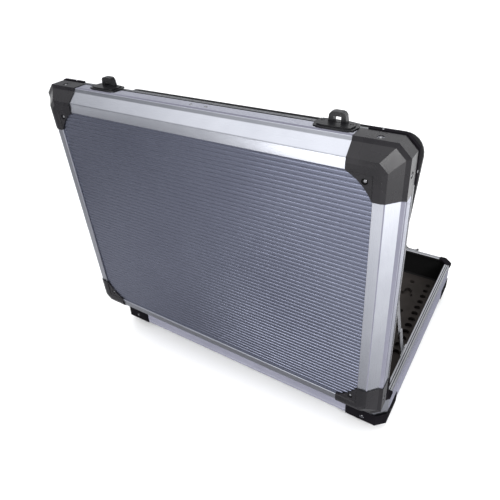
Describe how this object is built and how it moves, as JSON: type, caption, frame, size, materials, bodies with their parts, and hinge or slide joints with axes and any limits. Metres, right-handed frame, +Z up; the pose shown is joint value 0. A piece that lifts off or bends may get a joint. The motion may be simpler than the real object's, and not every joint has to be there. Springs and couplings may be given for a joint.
{
  "type": "chip case",
  "caption": "Hinged aluminium-framed carrying case, standing open, with ribbed lid, black corner caps, a lid stay, draw latches, a handle and a tray for gaming chips.",
  "frame": {"origin": "on the surface the case stands on, under the middle of its open footprint", "axes": "+X to the side with the lid stay, +Y from the hinge to the front with the handle and latches, +Z up"},
  "size_m": [0.4332, 0.4032, 0.4065],
  "materials": {
    "aluminium": "bright extruded aluminium, finely lined",
    "ribbed_panel": "slate-grey ribbed sheet with a satin sheen",
    "black_plastic": "black moulded plastic, satin",
    "black_latch": "black coated metal",
    "liner": "matt black lining sheet",
    "tray_foam": "dark matt foam insert",
    "zinc_steel": "zinc-plated steel",
    "board_fabric": "black cloth-covered board"
  },
  "bodies": {
    "base": {"base_cap_front_left": "black_plastic", "base_cap_front_right": "black_plastic", "base_cap_rear_left": "black_plastic", "base_cap_rear_right": "black_plastic", "base_liner": "liner", "base_post_front_left": "aluminium", "base_post_front_right": "aluminium", "base_post_rear_left": "aluminium", "base_post_rear_right": "aluminium", "base_rim_corner_front_left": "black_plastic", "base_rim_corner_front_right": "black_plastic", "base_rim_corner_rear_left": "black_plastic", "base_rim_corner_rear_right": "black_plastic", "base_rim_front": "aluminium", "base_rim_left": "aluminium", "base_rim_rear": "aluminium", "base_rim_right": "aluminium", "base_side_front": "aluminium", "base_side_left": "aluminium", "base_side_rear": "aluminium", "base_side_right": "aluminium", "floor_panel": "ribbed_panel", "handle_bracket_left": "black_latch", "handle_bracket_right": "black_latch", "hinge_leaf_base": "zinc_steel", "hinge_pin": "zinc_steel", "latch_plate_left": "black_latch", "latch_plate_right": "black_latch", "stay_bracket_base": "zinc_steel", "tray_insert": "tray_foam"},
    "lid": {"hinge_leaf_lid": "zinc_steel", "keeper_left": "black_latch", "keeper_right": "black_latch", "lid_cap_front_left": "black_plastic", "lid_cap_front_right": "black_plastic", "lid_cap_rear_left": "black_plastic", "lid_cap_rear_right": "black_plastic", "lid_liner": "liner", "lid_panel": "ribbed_panel", "lid_rim_corner_front_left": "black_plastic", "lid_rim_corner_front_right": "black_plastic", "lid_rim_corner_rear_left": "black_plastic", "lid_rim_corner_rear_right": "black_plastic", "lid_rim_front": "aluminium", "lid_rim_left": "aluminium", "lid_rim_rear": "aluminium", "lid_rim_right": "aluminium", "lid_side_front": "aluminium", "lid_side_left": "aluminium", "lid_side_rear": "aluminium", "lid_side_right": "aluminium", "stay_bracket_lid": "zinc_steel"},
    "board": {"lid_board": "board_fabric"},
    "lever_left": {"latch_lever_left": "black_latch"},
    "lever_right": {"latch_lever_right": "black_latch"},
    "bail_left": {"latch_bail_left": "black_latch"},
    "bail_right": {"latch_bail_right": "black_latch"},
    "handle": {"handle_grip": "black_latch"},
    "lower_link": {"stay_lower_link": "zinc_steel"},
    "upper_link": {"stay_upper_link": "zinc_steel"}
  },
  "joints": [
    {"name": "lid_hinge", "type": "hinge", "parent": "base", "child": "lid", "pos_m": [0, -0.14922, 0.062], "axis": [1, 0, 0], "range_deg": [-93, 0]},
    {"name": "board_tilt", "type": "hinge", "parent": "lid", "child": "board", "pos_m": [0, -0.17214, 0.08283], "axis": [1, 0, 0], "range_deg": [0, 21.5]},
    {"name": "lever_left_lift", "type": "hinge", "parent": "base", "child": "lever_left", "pos_m": [-0.129, 0.19278, 0.055], "axis": [1, 0, 0], "range_deg": [0, 110]},
    {"name": "lever_right_lift", "type": "hinge", "parent": "base", "child": "lever_right", "pos_m": [0.146, 0.19278, 0.055], "axis": [1, 0, 0], "range_deg": [0, 110]},
    {"name": "bail_left_swing", "type": "hinge", "parent": "lever_left", "child": "bail_left", "pos_m": [-0.129, 0.19358, 0.044], "axis": [-1, 0, 0], "range_deg": [-180, 0]},
    {"name": "bail_right_swing", "type": "hinge", "parent": "lever_right", "child": "bail_right", "pos_m": [0.146, 0.19358, 0.044], "axis": [-1, 0, 0], "range_deg": [-180, 0]},
    {"name": "handle_swing", "type": "hinge", "parent": "base", "child": "handle", "pos_m": [0.003, 0.19098, 0.046], "axis": [1, 0, 0], "range_deg": [0, 100]},
    {"name": "stay_lower_pivot", "type": "hinge", "parent": "base", "child": "lower_link", "pos_m": [0.2054, -0.05522, 0.0575], "axis": [1, 0, 0], "range_deg": [0, 82.6]},
    {"name": "stay_upper_pivot", "type": "hinge", "parent": "lid", "child": "upper_link", "pos_m": [0.2039, -0.17027, 0.30123], "axis": [1, 0, 0], "range_deg": [-13.6, 0]}
  ],
  "couplings": [
    {"joint": "stay_lower_pivot", "follows": "lid_hinge", "ratio": -0.88686},
    {"joint": "stay_upper_pivot", "follows": "lid_hinge", "ratio": 0.14437},
    {"joint": "board_tilt", "follows": "lid_hinge", "ratio": -0.23118}
  ]
}
